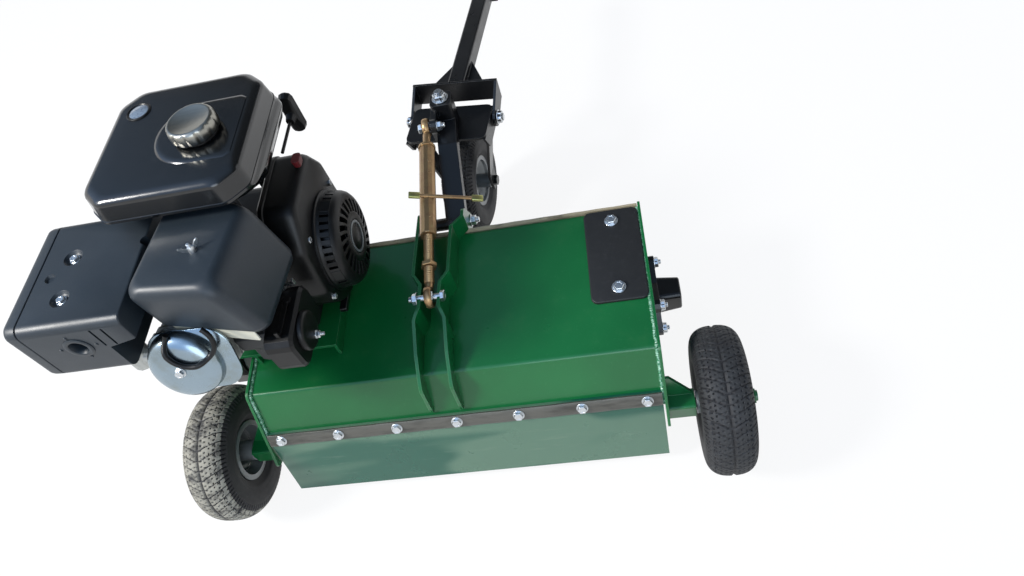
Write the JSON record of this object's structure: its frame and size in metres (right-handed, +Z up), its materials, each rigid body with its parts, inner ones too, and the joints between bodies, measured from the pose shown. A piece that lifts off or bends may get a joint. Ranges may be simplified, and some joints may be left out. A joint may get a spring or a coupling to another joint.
{
  "type": "tow-behind flail mower",
  "caption": "Tow-behind flail mower: sheet steel hood with a belt-driven flail rotor, own petrol engine, rear wheels, and a steered front wheel with drawbar set by a turnbuckle.",
  "frame": {"origin": "middle of the whole machine's box, on the ground", "axes": "+Z up, +Y forward towards the tow vehicle, +X to the right seen from behind"},
  "size_m": [1.127, 1.4252, 0.7653],
  "materials": {
    "green_paint": "gloss",
    "black_paint": "satin",
    "black_plastic": "matt",
    "engine_black": "satin black enamel and plastic",
    "cast_aluminium": "cast",
    "zinc": "bright zinc plate",
    "gold_zinc": "yellow zinc plate",
    "worn_steel": "worn",
    "grey_steel": "grey paint",
    "tyre_rubber": "matt",
    "pad_rubber": "matt",
    "flap_sheet": "gloss flexible sheet",
    "cap_chrome": "brushed bright",
    "red_plastic": "satin"
  },
  "bodies": {
    "deck": {"deck_shell": "green_paint", "side_plate_left": "green_paint", "side_plate_right": "green_paint", "front_curtain": "pad_rubber", "rear_flap": "flap_sheet", "clamp_strip": "worn_steel", "top_pad": "pad_rubber", "engine_mount": "green_paint", "bracket_left": "green_paint", "bracket_right": "green_paint", "stub_axle_left": "green_paint", "stub_axle_right": "green_paint", "bearing_left": "black_paint", "bearing_right": "black_paint", "drive_belt": "tyre_rubber", "belt_guard": "black_paint", "crankcase": "cast_aluminium", "cylinder_head": "cast_aluminium", "valve_cover": "zinc", "blower_housing": "engine_black", "recoil_cover": "black_plastic", "fuel_tank": "engine_black", "air_cleaner": "engine_black", "muffler_guard": "engine_black", "carburettor": "cast_aluminium", "control_box": "black_plastic", "lower_bolt": "zinc", "arm_bolt": "zinc"},
    "wheel_left": {"tyre_left": "tyre_rubber", "rim_left": "grey_steel"},
    "wheel_right": {"tyre_right": "tyre_rubber", "rim_right": "grey_steel"},
    "rotor": {"rotor_shaft": "black_paint", "rotor_pulley": "grey_steel"},
    "crankshaft": {"engine_pulley": "grey_steel"},
    "flail_01": {"flail_01": "worn_steel"},
    "flail_02": {"flail_02": "worn_steel"},
    "flail_03": {"flail_03": "worn_steel"},
    "flail_04": {"flail_04": "worn_steel"},
    "flail_05": {"flail_05": "worn_steel"},
    "flail_06": {"flail_06": "worn_steel"},
    "flail_07": {"flail_07": "worn_steel"},
    "flail_08": {"flail_08": "worn_steel"},
    "idler_arm": {"idler_arm": "black_paint"},
    "idler_pulley": {"idler_pulley": "zinc"},
    "front_arm": {"front_arm": "black_paint", "upper_bolt": "zinc"},
    "rod_end_lower": {"rod_end_lower": "gold_zinc"},
    "turnbuckle_tube": {"turnbuckle_tube": "gold_zinc"},
    "rod_end_upper": {"rod_end_upper": "gold_zinc"},
    "steering_fork": {"steering_fork": "black_paint"},
    "castor_wheel": {"castor_tyre": "tyre_rubber", "castor_rim": "grey_steel"},
    "drawbar": {"drawbar": "black_paint"},
    "fuel_cap": {"fuel_cap": "cap_chrome"},
    "wing_nut": {"wing_nut": "zinc"},
    "throttle_lever": {"throttle_lever": "zinc"},
    "choke_lever": {"choke_lever": "black_plastic"},
    "stop_switch": {"stop_switch": "red_plastic"},
    "starter_grip": {"starter_grip": "black_plastic"}
  },
  "joints": [
    {"name": "wheel_left_spin", "type": "hinge", "parent": "deck", "child": "wheel_left", "pos_m": [-0.46205, -0.57759, 0.135], "axis": [1, 0, 0], "continuous": true},
    {"name": "wheel_right_spin", "type": "hinge", "parent": "deck", "child": "wheel_right", "pos_m": [0.50095, -0.57759, 0.135], "axis": [1, 0, 0], "continuous": true},
    {"name": "rotor_spin", "type": "hinge", "parent": "deck", "child": "rotor", "pos_m": [0.01945, -0.35159, 0.165], "axis": [1, 0, 0], "continuous": true},
    {"name": "crank_spin", "type": "hinge", "parent": "deck", "child": "crankshaft", "pos_m": [-0.45855, -0.32759, 0.442], "axis": [1, 0, 0], "continuous": true},
    {"name": "flail_01_swing", "type": "hinge", "parent": "rotor", "child": "flail_01", "pos_m": [-0.30525, -0.29759, 0.165], "axis": [1, 0, 0], "range_deg": [-90, 90]},
    {"name": "flail_02_swing", "type": "hinge", "parent": "rotor", "child": "flail_02", "pos_m": [-0.21248, -0.38977, 0.20318], "axis": [1, 0, 0], "range_deg": [-90, 90]},
    {"name": "flail_03_swing", "type": "hinge", "parent": "rotor", "child": "flail_03", "pos_m": [-0.11971, -0.35159, 0.111], "axis": [1, 0, 0], "range_deg": [-90, 90]},
    {"name": "flail_04_swing", "type": "hinge", "parent": "rotor", "child": "flail_04", "pos_m": [-0.02694, -0.31341, 0.20318], "axis": [1, 0, 0], "range_deg": [-90, 90]},
    {"name": "flail_05_swing", "type": "hinge", "parent": "rotor", "child": "flail_05", "pos_m": [0.06584, -0.40559, 0.165], "axis": [1, 0, 0], "range_deg": [-90, 90]},
    {"name": "flail_06_swing", "type": "hinge", "parent": "rotor", "child": "flail_06", "pos_m": [0.15861, -0.31341, 0.12682], "axis": [1, 0, 0], "range_deg": [-90, 90]},
    {"name": "flail_07_swing", "type": "hinge", "parent": "rotor", "child": "flail_07", "pos_m": [0.25138, -0.35159, 0.219], "axis": [1, 0, 0], "range_deg": [-90, 90]},
    {"name": "flail_08_swing", "type": "hinge", "parent": "rotor", "child": "flail_08", "pos_m": [0.34415, -0.38977, 0.12682], "axis": [1, 0, 0], "range_deg": [-90, 90]},
    {"name": "idler_swing", "type": "hinge", "parent": "deck", "child": "idler_arm", "pos_m": [-0.44405, -0.25431, 0.22646], "axis": [1, 0, 0], "range_deg": [-2.5, 0], "stiffness_Nm_per_rad": 6, "springref_deg": 1.15},
    {"name": "idler_spin", "type": "hinge", "parent": "idler_arm", "child": "idler_pulley", "pos_m": [-0.45855, -0.25831, 0.29646], "axis": [1, 0, 0], "continuous": true},
    {"name": "arm_tilt", "type": "hinge", "parent": "deck", "child": "front_arm", "pos_m": [0.03545, -0.19759, 0.296], "axis": [1, 0, 0], "range_deg": [-5, 5]},
    {"name": "link_pivot", "type": "hinge", "parent": "deck", "child": "rod_end_lower", "pos_m": [0.00595, -0.42159, 0.352], "axis": [1, 0, 0], "range_deg": [-3, 3]},
    {"name": "link_extend", "type": "slide", "parent": "rod_end_lower", "child": "rod_end_upper", "axis": [-0.0633, 0.9976, 0.0289], "range_m": [-0.007, 0.007]},
    {"name": "turnbuckle_turn", "type": "hinge", "parent": "rod_end_lower", "child": "turnbuckle_tube", "pos_m": [-0.00899, -0.18616, 0.35882], "axis": [-0.0633, 0.9976, 0.0289], "range_deg": [-20, 12]},
    {"name": "steering", "type": "hinge", "parent": "front_arm", "child": "steering_fork", "pos_m": [0.01245, 0.08541, 0.35], "axis": [0, 0, 1], "range_deg": [-60, 60]},
    {"name": "castor_spin", "type": "hinge", "parent": "steering_fork", "child": "castor_wheel", "pos_m": [0.01245, 0.08541, 0.13], "axis": [0.9877, -0.1564, 0], "continuous": true},
    {"name": "drawbar_pitch", "type": "hinge", "parent": "steering_fork", "child": "drawbar", "pos_m": [0.01808, 0.12097, 0.296], "axis": [0.9877, -0.1564, 0], "range_deg": [-25, 45]},
    {"name": "fuel_cap_turn", "type": "hinge", "parent": "deck", "child": "fuel_cap", "pos_m": [-0.25055, -0.33759, 0.7413], "axis": [0, 0, 1], "range_deg": [-100, 0]},
    {"name": "wing_nut_turn", "type": "hinge", "parent": "deck", "child": "wing_nut", "pos_m": [-0.24955, -0.52059, 0.6723], "axis": [0, 0, 1], "continuous": true},
    {"name": "throttle_turn", "type": "hinge", "parent": "deck", "child": "throttle_lever", "pos_m": [-0.19255, -0.48359, 0.512], "axis": [0, 0, 1], "range_deg": [-20, 20]},
    {"name": "choke_turn", "type": "hinge", "parent": "deck", "child": "choke_lever", "pos_m": [-0.17955, -0.51159, 0.512], "axis": [0, 0, 1], "range_deg": [-20, 20]},
    {"name": "stop_switch_turn", "type": "hinge", "parent": "deck", "child": "stop_switch", "pos_m": [-0.15955, -0.28259, 0.595], "axis": [0, 0, 1], "range_deg": [-45, 45]},
    {"name": "starter_pull", "type": "slide", "parent": "deck", "child": "starter_grip", "axis": [0, 1, 0], "range_m": [0, 0.06], "stiffness_N_per_m": 60, "springref_m": -0.02}
  ],
  "couplings": [
    {"joint": "crank_spin", "follows": "rotor_spin", "ratio": 1.0594},
    {"joint": "idler_spin", "follows": "rotor_spin", "ratio": -1.9455},
    {"joint": "link_pivot", "follows": "arm_tilt", "ratio": 0.5051},
    {"joint": "link_extend", "follows": "arm_tilt", "m_per_rad": -0.0626}
  ]
}
